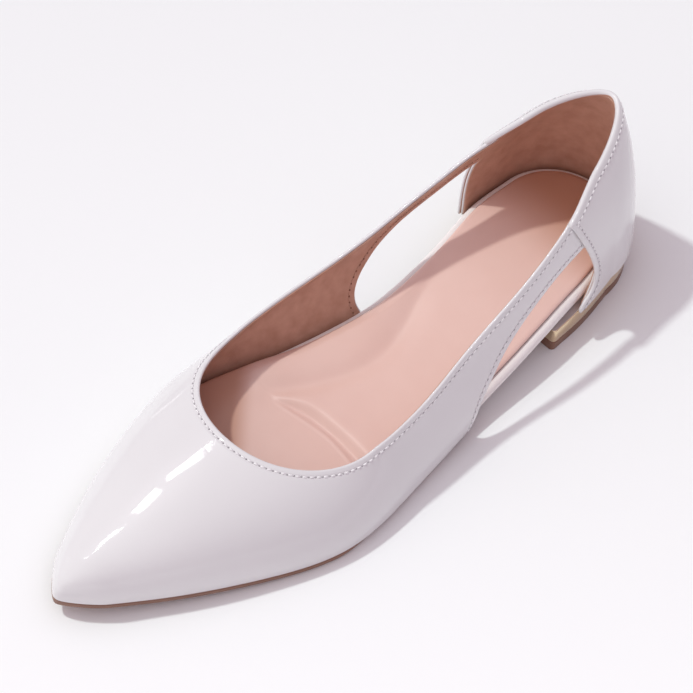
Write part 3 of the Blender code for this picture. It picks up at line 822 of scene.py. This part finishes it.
def hole_shade_lenses(path, tree):
    """A small closed lens of painted shade at each point of a path, for a needle hole: a ring on the surface,
    and a peak above and below it.
    """
    up = nearest(tree, path)[1]
    run = unit(np.gradient(path, axis=0))
    aside = unit(np.cross(up, run))
    phi = np.linspace(0, 2 * np.pi, HOLE_SIDES, endpoint=False)
    ring = (path[:, None] + up[:, None] * HOLE_UP + run[:, None] * (HOLE_R * np.cos(phi))[None, :, None]
            + aside[:, None] * (HOLE_FLAT * HOLE_R * np.sin(phi))[None, :, None])
    peaks = path[:, None] + up[:, None] * HOLE_PEAKS[None, :, None]
    j = np.arange(HOLE_SIDES)
    jj, top, low = (j + 1) % HOLE_SIDES, np.full(HOLE_SIDES, HOLE_SIDES), np.full(HOLE_SIDES, HOLE_SIDES + 1)
    tris = np.concatenate([np.stack([j, jj, top], -1), np.stack([jj, j, low], -1)])
    faces = (np.arange(len(path)) * (HOLE_SIDES + 2))[:, None, None] + tris[None]
    return np.concatenate([ring, peaks], 1).reshape(-1, 3), faces.reshape(-1, 3).tolist()


print("a stitch:", STITCH_LONG, "mm long,", 2 * THREAD_R, "mm thick")

# %% [markdown]
# The seams follow the collar, both cut-outs and the counter. Those of the cut-outs also show on the lining,
# in its own colour. Where the counter covers the strap, the seam under it ends.

# %% Sew the seams
COLLAR_SEAM_END, CUT_SEAM_END = 47.5, {OUTER: 43.5, INNER: 42.0}
cut_seams = {side: edge[edge[:, 0] > CUT_SEAM_END[side]] for side, edge in cut_edges.items()}
seams = {"collar": (top_edge[top_edge[:, 0] > COLLAR_SEAM_END], hide_tree),
         "outer_cut": (cut_seams[OUTER], hide_tree), "inner_cut": (cut_seams[INNER], hide_tree),
         "counter": (counter_edge, counter_tree),
         "lining_outer": (cut_seams[OUTER], lining_tree), "lining_inner": (cut_seams[INNER], lining_tree)}
for name, (edge, tree) in seams.items():
    path = stitch_line(edge, tree)
    within = name.startswith("lining")
    thread = add_piece(f"stitches_{name}", *stitch_beads(path, tree), [LINING if within else THREAD])
    # The holes are small lenses of painted shade.
    holes = add_piece(f"hole_shade_lenses_{name}", *hole_shade_lenses(path, tree), [LINING_HOLE_PAINTED_SHADE if within else HOLE_PAINTED_SHADE])
    print(name, "stitches:", len(path) - 1)

# %% [markdown]
# ## Heel and sole
# These are lofts: an edge profile of (distance outside the wall, height) is carried from the front back round
# the heel. A bevel modifier on a block would round every edge alike; a profile rounds each one as it is on
# the shoe. A fine round catches the light along the top of the gold band, and the inner side is drawn in.

# %% Edge profiles
def rings(s, edge, tuck=0.0):
    """Rings of points: edge is (stations, profile, 2) of outward distance and height, up the outer side and
    down the inner one, which is drawn in by tuck."""
    def side_points(side, edge):
        """Points at the wall's foot, moved outwards and set to the profile's heights."""
        base = wall(side, s[:, None] + 0 * edge[..., 0], 0 * edge[..., 0], edge[..., 0])
        base[..., 2] = edge[..., 1]
        return base
    drawn = edge[:, ::-1] - np.stack([tuck + 0 * s, 0 * s], -1)[:, None]
    return np.concatenate([side_points(OUTER, edge), side_points(INNER, drawn)], 1)


def round_edge(out, low, high, radius, n=4):
    """The profile of a block at each station, from low to high, with quarter circles of the given radius as
    its corners."""
    t = np.linspace(0, np.pi / 2, n)
    out, low, high = (value[:, None] for value in np.broadcast_arrays(out, low, high))
    bottom = np.stack([out - radius + radius * np.sin(t), low + radius - radius * np.cos(t)], -1)
    top = np.stack([out - radius + radius * np.cos(t), high - radius + radius * np.sin(t)], -1)
    return np.concatenate([bottom, top], 1)


print("points on a rounded profile:", round_edge([0.0], 0.0, 4.0, 0.5).shape[1])

# %% [markdown]
# The heel is a tan lift on the floor with the gold band on it. Both start at the breast, the heel's front
# face, with a rounded corner, and go back round the heel, with stations close together where they turn.

# %% Heel lift and gold band
BREAST, GAP, LIFT_TOP = 59.2, 0.3, 4.6
HEEL_CORNER, CORNER_STEPS, HEEL_STEPS = 1.6, 7, 24
LIFT_OUT, LIFT_ROUND, BAND_OUT, BAND_ROUND = 0.1, 0.45, 0.2, 0.4
TUCK, TUCK_FROM, TUCK_OVER = 1.3, 36.0, 12.0
corner_turn = np.linspace(0, np.pi / 2, CORNER_STEPS)[:-1]
s = np.concatenate([BREAST - HEEL_CORNER * (1 - np.cos(corner_turn)) - HEEL_DEPTH,
                    np.linspace(BREAST - HEEL_CORNER, HEEL_DEPTH, HEEL_STEPS)[:-1] - HEEL_DEPTH,
                    -BACK_ARC * np.sin(np.linspace(0, np.pi / 2, 2 * HEEL_STEPS))])
from_breast = np.clip((BREAST - HEEL_DEPTH - s) / HEEL_CORNER, 0, 1)
corner = HEEL_CORNER * (1 - np.sqrt(1 - (1 - from_breast) ** 2))
tuck = TUCK * ease((s + HEEL_DEPTH - TUCK_FROM) / TUCK_OVER)
edge = round_edge(LIFT_OUT - corner, 0.0, LIFT_TOP, LIFT_ROUND)
lift_piece = loft("heel_lift", rings(s, edge, tuck), [LIFT])
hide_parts("top_piece")
edge = round_edge(BAND_OUT - corner, LIFT_TOP + GAP, sole_top(s) - GAP, BAND_ROUND)
# The band's top face takes the seat's grey, which is partly painted shade.
band = loft("gold_heel_band", rings(s, edge, tuck), [GOLD, SEAT_AND_SHADE], (edge.shape[1] - 1,))
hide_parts("heel_block")
print("lift and band:", len(lift_piece.data.polygons), len(band.data.polygons))

# %% [markdown]
# The sole is 2.7 mm thick. It shows as a brown line from the toe to the ball, is drawn in behind the ball so
# that the upper hides it, and is drawn in again at the waist. Its back end turns down the heel as a flap.

# %% Sole
SOLE_THICK, WAIST_INSET, WAIST_BACK, WAIST_FRONT = 2.7, 4.6, 96.0, 108.0
SIDE_INSET, SIDE_FROM, SIDE_OVER = 1.5, 178.0, 22.0
SOLE_EDGE = np.array([(-1.1, 0.0), (-0.45, 0.08), (0.05, 0.25), (0.25, 0.5), (0.3, 0.8), (0.15, 0.93),
                      (-0.1, 1.0)])
FLAP, SHARP, TIP_TURN, SOLE_TIP_STEPS, SOLE_STEPS = 1.2, 0.02, 0.02, 16, 120
flap_front = BREAST + GAP + FLAP
tip_turn = np.linspace(TIP_TURN, np.pi / 2, SOLE_TIP_STEPS)
along = np.concatenate([LENGTH - TOE_ROUND + TOE_ROUND * np.cos(tip_turn),
                        np.linspace(LENGTH - TOE_ROUND, flap_front, SOLE_STEPS)[1:],
                        [flap_front - SHARP, BREAST + GAP]])
high = section("lift", along) - GAP
low = np.maximum(high - SOLE_THICK, 0.0)
low[-2:] = LIFT_TOP + GAP
draw_in = (WAIST_INSET * ease((WAIST_FRONT - along) / (WAIST_FRONT - WAIST_BACK))
           + SIDE_INSET * ease((SIDE_FROM - along) / SIDE_OVER))
edge = np.stack([SOLE_EDGE[:, 0] - draw_in[:, None],
                 low[:, None] + (high - low)[:, None] * SOLE_EDGE[:, 1]], -1)
sole = loft("tan_outsole", rings(along - HEEL_DEPTH, edge), [SOLE])
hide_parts("outsole")
print("sole:", len(sole.data.polygons), "faces, lowest", float(low.min()))

# %% [markdown]
# ## Footbed and sock
# The footbed is a board wrapped in white leather. Its rounded rim shows in the cut-outs and as a white line
# round the heel. It is a loft as well, with a half-round edge, and it stands out a little in the outer
# cut-out, where no wall holds it in.

# %% Footbed
INSET, BOARD, BOARD_ROUND, BOARD_RIM, BOARD_FRONT = 2.2, 4.5, 1.9, 2.6, 253.0
BOARD_STEPS, ROUND_STEPS, FOOT_LEAN = 130, 13, 0.5
BULGE, BULGE_BACK, BULGE_RISE, BULGE_FRONT, BULGE_FALL = 1.3, 44.0, 20.0, 108.0, 44.0


def bed_points(side, s, inset, h):
    """A point of the footbed: inside the wall's foot by inset, leaning with half the wall's lean."""
    base = wall(side, s, 0 * (s + h), -inset)
    base[..., 1] += FOOT_LEAN * lean(along_at(s), h)
    base[..., 2] += h
    return base


def bed_stations(front, n):
    """Places from a front end back round the heel."""
    return np.concatenate([np.linspace(front, HEEL_DEPTH, n)[:-1] - HEEL_DEPTH,
                           -BACK_ARC * np.sin(np.linspace(0, np.pi / 2, n // 3))])


def bulge(s):
    """How far the board stands out in the outer cut-out: an eased rise and a longer fall."""
    along = s + HEEL_DEPTH
    return BULGE * ease(np.minimum((along - BULGE_BACK) / BULGE_RISE, (BULGE_FRONT - along) / BULGE_FALL))


s = bed_stations(BOARD_FRONT, BOARD_STEPS)[:, None]
turn = np.linspace(-np.pi / 2, np.pi / 2, ROUND_STEPS)
inset = np.append(INSET + BOARD_ROUND - BOARD_ROUND * np.cos(turn), INSET + BOARD_RIM)
height = np.append(BOARD / 2 + BOARD / 2 * np.sin(turn), BOARD)
board = np.concatenate([bed_points(OUTER, s, inset - bulge(s), height + 0 * s),
                        bed_points(INNER, s, inset[::-1] + 0 * s, height[::-1] + 0 * s)], 1)
footbed = loft("wrapped_footbed", board, [RIM])
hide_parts("footbed")
print("footbed:", len(footbed.data.polygons), "faces")

# %% [markdown]
# The sock is a thin foam pad in rose-beige leather. Heat and pressure moulded it: a pad behind the ball of
# the foot ends in a ridge with a groove in front of it, and an arch rises on the inner side. A cloth
# simulation would not put these forms in their places, so they are soft ramps along curves in the shoe's own
# sizes: ridge and fold are tables of (across, along), and the valley of (along, across).

# %% The sock's relief
RIDGE = np.array([(-26, 145.0), (-16, 144.1), (-5, 144.0), (6, 144.6), (12, 146.9), (18, 151.2)])
FOLD = np.array([(-26, 152.0), (-17, 150.1), (-8, 148.9), (1, 149.4), (11, 150.8), (18, 151.8)])
VALLEY = np.array([(55, 22.0), (76, 14.0), (86, 11.2), (100, 6.4), (112, 4.4), (127, 8.2), (140, 14.9),
                   (150, 21.5)])
PAD_HIGH, PAD_FROM, PAD_RISE, PAD_SIDE, PAD_SIDE_WIDE, VALLEY_WIDE = 1.5, 98.0, 22.0, -27.0, 3.0, 5.0
GROOVE, GROOVE_REACH, STEEP, STEEP_SHARE, LIP, LIP_WIDE = 0.9, 5.0, 3.4, 0.55, 0.18, 0.8
RIDGE_ROUND, GROOVE_ROUND, FOLD_ROUND = 0.8, 0.45, 0.3
ARCH_HIGH, ARCH_WIDE, ARCH_CURVE = 2.2, 5.5, 1.5
ARCH_BACK, ARCH_BACK_WIDE, ARCH_FRONT, ARCH_FRONT_WIDE = 62.0, 8.0, 150.0, 4.0


def soft_step(x, width):
    """0 to 1 across x = 0, over about width: half of 1 + tanh(x / width)."""
    return 0.5 + 0.5 * np.tanh(x / width)


def soft_ramp(x, radius):
    """0 before x = 0 and x after it, rounded at the corner: radius * log(1 + e^(x / radius))."""
    return radius * np.logaddexp(0, x / radius)


def relief(along, across):
    """Height of the sock's moulded forms in millimetres. From its ridge the pad drops into a groove, and the
    forefoot rises from the groove to a fold in front. A valley parts pad and arch, and the arch rises from
    it to the inner edge."""
    y = np.clip(across, RIDGE[0, 0], RIDGE[-1, 0])
    ridge, fold = curve(RIDGE, y), curve(FOLD, y)
    reach, ahead = np.maximum(fold - ridge, 1.0), along - ridge
    past = across - curve(VALLEY, np.clip(along, VALLEY[0, 0], VALLEY[-1, 0]))
    to_valley = 1 - np.exp(-(np.clip(past, None, 0) / VALLEY_WIDE) ** 2)
    on_pad = soft_step(across - PAD_SIDE, PAD_SIDE_WIDE) * to_valley
    pad = PAD_HIGH * soft_step(along - PAD_FROM, PAD_RISE) * on_pad
    groove = GROOVE * np.clip(reach / GROOVE_REACH, 0, 1) * on_pad
    steep = np.minimum(STEEP, STEEP_SHARE * reach)
    fall, climb = (pad + groove) / steep, groove / (reach - steep)
    lip = LIP * on_pad * np.exp(-((ahead - reach) / LIP_WIDE) ** 2)
    pad = (pad - fall * soft_ramp(ahead, RIDGE_ROUND)
           + (fall + climb) * soft_ramp(ahead - steep, GROOVE_ROUND)
           - climb * soft_ramp(ahead - reach, FOLD_ROUND) + lip)
    middle = soft_step(along - ARCH_BACK, ARCH_BACK_WIDE) * soft_step(ARCH_FRONT - along, ARCH_FRONT_WIDE)
    return pad + ARCH_HIGH * middle * (1 - np.exp(-(np.clip(past, 0, None) / ARCH_WIDE) ** ARCH_CURVE))


print("arch at its highest:", float(relief(np.array(110.0), np.array(30.0)).round(2)), "mm")

# %% [markdown]
# The sock's top is a grid across the board, with closer stations at the ridge. Its edge is rounded and its
# side painted brown. The relief fades out near the edge, where the pad is glued down.

# %% Sock
SOCK_FRONT, SOCK_LOW, SOCK_THICK, SOCK_ROUND, SOCK_DROP = 248.0, BOARD + GAP, 1.5, 1.6, 0.9
SOCK_STEPS, SOCK_ACROSS, SOCK_CROWDING, RELIEF_FADE = 200, 72, 1.3, 4.0
NEAR_RIDGE = np.linspace(138, 156, 48)
MARGIN, TOE_MARGIN, WIDE_FROM, WIDE_TO = 2.8, 1.2, 124.0, 146.0
s = np.concatenate([bed_stations(SOCK_FRONT, SOCK_STEPS), NEAR_RIDGE - HEEL_DEPTH])
s = np.sort(s)[::-1, None]
edge_in = INSET + MARGIN - (MARGIN - TOE_MARGIN) * ease((s + HEEL_DEPTH - WIDE_FROM) / (WIDE_TO - WIDE_FROM))
left = bed_points(OUTER, s, edge_in - bulge(s), SOCK_LOW + 0 * s)
right = bed_points(INNER, s, edge_in, SOCK_LOW + 0 * s)
top = left + (right - left) * crowd(SOCK_ACROSS, SOCK_CROWDING)[None, :, None]
rim_line = np.concatenate([left[:, 0, :2], right[::-1, 0, :2]])
far = np.array([np.sqrt(((row[:, None, :2] - rim_line[None]) ** 2).sum(-1).min(1)) for row in top])
u = np.clip(1 - far / SOCK_ROUND, 0, 1)
edge_drop = SOCK_DROP * (1 - np.sqrt(1 - u * u))
moulded = relief(top[..., 0], top[..., 1]) * np.clip(far / RELIEF_FADE, 0, 1)
top[..., 2] += SOCK_THICK - edge_drop + moulded
n = top.shape[1]
sock = loft("padded_sock", np.concatenate([top, right, left], 1), [SOCK, EDGE_PAINT], (n - 1, n + 1))
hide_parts("insole")
print("sock:", len(sock.data.polygons), "faces")

# %% [markdown]
# The sock is painted darker at the heel and at the inner side of the toe: painted shade, where the collar and
# the throat
#  shade it. Painting a texture would do it too. Here an attribute on the points says how much shade, because
#  it follows the shoe.

# %% Painted shade on the sock
SHADE_HEEL, SHADE_HEEL_OVER = 46.0, 30.0
SHADE_TOE, SHADE_TOE_OVER, SHADE_TOE_SHARE, SHADE_SLANT = 180.5, 13.0, 0.85, 1.1
co = read(sock.data.vertices, "co", 3) / MM
along, across = CENTRE[0] - co[:, 0], co[:, 1] + CENTRE[1]
# Painted shade: the collar's shadow at the heel, and the throat's shadow slanting across the inner toe.
painted_shade = (ease((SHADE_HEEL - along) / SHADE_HEEL_OVER)
        + SHADE_TOE_SHARE * ease((along + SHADE_SLANT * across - SHADE_TOE) / SHADE_TOE_OVER))
sock.data.attributes.new("painted_shade", "FLOAT", "POINT").data.foreach_set("value", painted_shade)
print("points with a deeper colour:", int((painted_shade > 0).sum()), "of", len(painted_shade))

# %% [markdown]
# ## Camera, floor and light
# The camera stands where the picture was taken from, measured from the shoe, and turns to the shoe's middle.
# A long lens from far away keeps the shoe's lines nearly parallel.

# %% Camera
ELEVATION, AZIMUTH, ROLL = np.radians([53.773, 43.066, 3.242])
DISTANCE, AIM = 1.33178, np.array([0.02426, 0.06709, 0.0])
LOOK_AT, FRAME_LENS = np.array([0.0035, 0.006, 0.0285]), 190.0
away = np.array([-np.cos(ELEVATION) * np.cos(AZIMUTH), -np.cos(ELEVATION) * np.sin(AZIMUTH),
                 np.sin(ELEVATION)])
eye = AIM + DISTANCE * away
right = unit(np.cross(-away, [0, 0, 1]))
up = np.cross(right, -away)
tilted_up = -right * np.sin(ROLL) + up * np.cos(ROLL)
ahead = unit(LOOK_AT - eye)
side_dir = unit(np.cross(ahead, tilted_up))
cam_data = bpy.data.cameras.new("camera")
cam_data.lens, cam_data.sensor_width = FRAME_LENS, 36.0
camera = bpy.data.objects.new("camera", cam_data)
axes = np.stack([side_dir, np.cross(side_dir, ahead), -ahead], 1)
camera.matrix_world = Matrix.Translation(Vector(eye)) @ Matrix(axes.tolist()).to_4x4()
bpy.context.scene.collection.objects.link(camera)
bpy.context.scene.camera = camera
print("camera at", eye.round(3))

# %% [markdown]
# The floor is a white studio sheet, a little brighter towards the camera. A lamp could do that, but it would
#  show in the gloss, so the brightening is painted light: the sheet's colour is a ramp away from the camera.

# %% Floor
bpy.context.scene.view_settings.view_transform = "Standard"
FLOOR = 3.0
mesh = bpy.data.meshes.new("floor")
corners = [(-FLOOR, -FLOOR, 0), (FLOOR, -FLOOR, 0), (FLOOR, FLOOR, 0), (-FLOOR, FLOOR, 0)]
mesh.from_pydata(corners, [], [(0, 1, 2, 3)])
floor = bpy.data.objects.new("floor", mesh)
bpy.context.scene.collection.objects.link(floor)
floor_mat, nodes, links, shader = finish("white_floor", (0.93, 0.95, 0.945), 0.6, Specular_IOR_Level=0.2)
coords, away_share = nodes.new("ShaderNodeTexCoord"), nodes.new("ShaderNodeVectorMath")
away_share.operation = "DOT_PRODUCT"
away_share.inputs[1].default_value = (np.cos(AZIMUTH), np.sin(AZIMUTH), 0)
links.new(coords.outputs["Object"], away_share.inputs[0])
farness = nodes.new("ShaderNodeMath")
farness.operation, farness.inputs[1].default_value = "ADD", 0.5
links.new(away_share.outputs["Value"], farness.inputs[0])
# Painted light: the sheet is lighter near the camera and darker away from it.
painted_floor_light = ramp(nodes, links, farness.outputs[0],
                  [(0.33, (0.97, 0.98, 0.98)), (0.5, (0.905, 0.92, 0.92)), (0.7, (0.86, 0.875, 0.875))])
links.new(painted_floor_light, shader.inputs["Base Color"])
mesh.materials.append(floor_mat)
print("floor:", 2 * FLOOR, "m square")

# %% [markdown]
# A room of soft mauve light fills the shadows, brighter overhead on the toe's side. A picture of a room could
# light it too, but a ramp over the sky is easier to steer. A high sun from the inner side of the toe throws
# the shadow towards the heel. The gloss doesn't mirror it: that is left to the panels of the next cell.

# %% Room and key light
BRIGHT_SIDE, TO_SUN = (-0.50, 0.28, 0.82), unit(np.array([-0.24, 0.52, 1.0]))
world = bpy.data.worlds.new("studio")
bpy.context.scene.world = world
world.use_nodes = True
nodes, links = world.node_tree.nodes, world.node_tree.links
coords = nodes.new("ShaderNodeTexCoord")
facing = nodes.new("ShaderNodeVectorMath")
facing.operation = "DOT_PRODUCT"
facing.inputs[1].default_value = BRIGHT_SIDE
links.new(coords.outputs["Generated"], facing.inputs[0])
glow = ramp(nodes, links, facing.outputs["Value"],
            [(0.0, (0.435, 0.36, 0.42)), (0.35, (0.545, 0.455, 0.525)), (0.75, (0.765, 0.68, 0.73)),
             (1.0, (0.955, 0.90, 0.925))])
links.new(glow, nodes["Background"].inputs["Color"])
sun = bpy.data.objects.new("key", bpy.data.lights.new("key", "SUN"))
sun.data.energy, sun.data.angle, sun.data.color = 1.42, np.radians(3.0), (0.91, 1.0, 0.96)
sun.rotation_mode = "QUATERNION"
sun.rotation_quaternion = Vector(TO_SUN).to_track_quat("Z", "Y")
sun.visible_glossy = False
bpy.context.scene.collection.objects.link(sun)
print("key from", TO_SUN.round(2))

# %% [markdown]
# Gloss is seen by what it mirrors. Three panels overhead leave the bright bars on the vamp, and a thin low
# one the streak on its far shoulder. They light no matte surface, so the shadows stay as the sun makes them.

# %% Panels in the gloss
def panel(name, at, size, glow, spin=0.0):
    """A long light panel that faces the shoe, seen only in reflections."""
    lamp = bpy.data.lights.new(name, "AREA")
    lamp.shape, lamp.size, lamp.size_y, lamp.energy = "RECTANGLE", *size, glow * size[0] * size[1]
    obj = bpy.data.objects.new(name, lamp)
    facing_shoe = Vector(at).to_track_quat("Z", "Y").to_matrix().to_4x4()
    obj.matrix_world = Matrix.Translation(Vector(at)) @ facing_shoe @ Matrix.Rotation(spin, 4, "Z")
    obj.visible_diffuse = False
    bpy.context.scene.collection.objects.link(obj)


panel("bar_throat", (0.18, 0.671, 1.461), (0.18, 0.07), 90)
panel("bar_middle", (-0.08, 0.662, 1.487), (0.165, 0.095), 90)
panel("bar_toe", (-0.268, 0.645, 1.486), (0.022, 0.10), 90)
panel("streak", (0.305, 1.567, 0.25), (0.012, 0.32), 9, np.radians(16))
print("lamps:", sorted(lamp.name for lamp in bpy.data.lights))
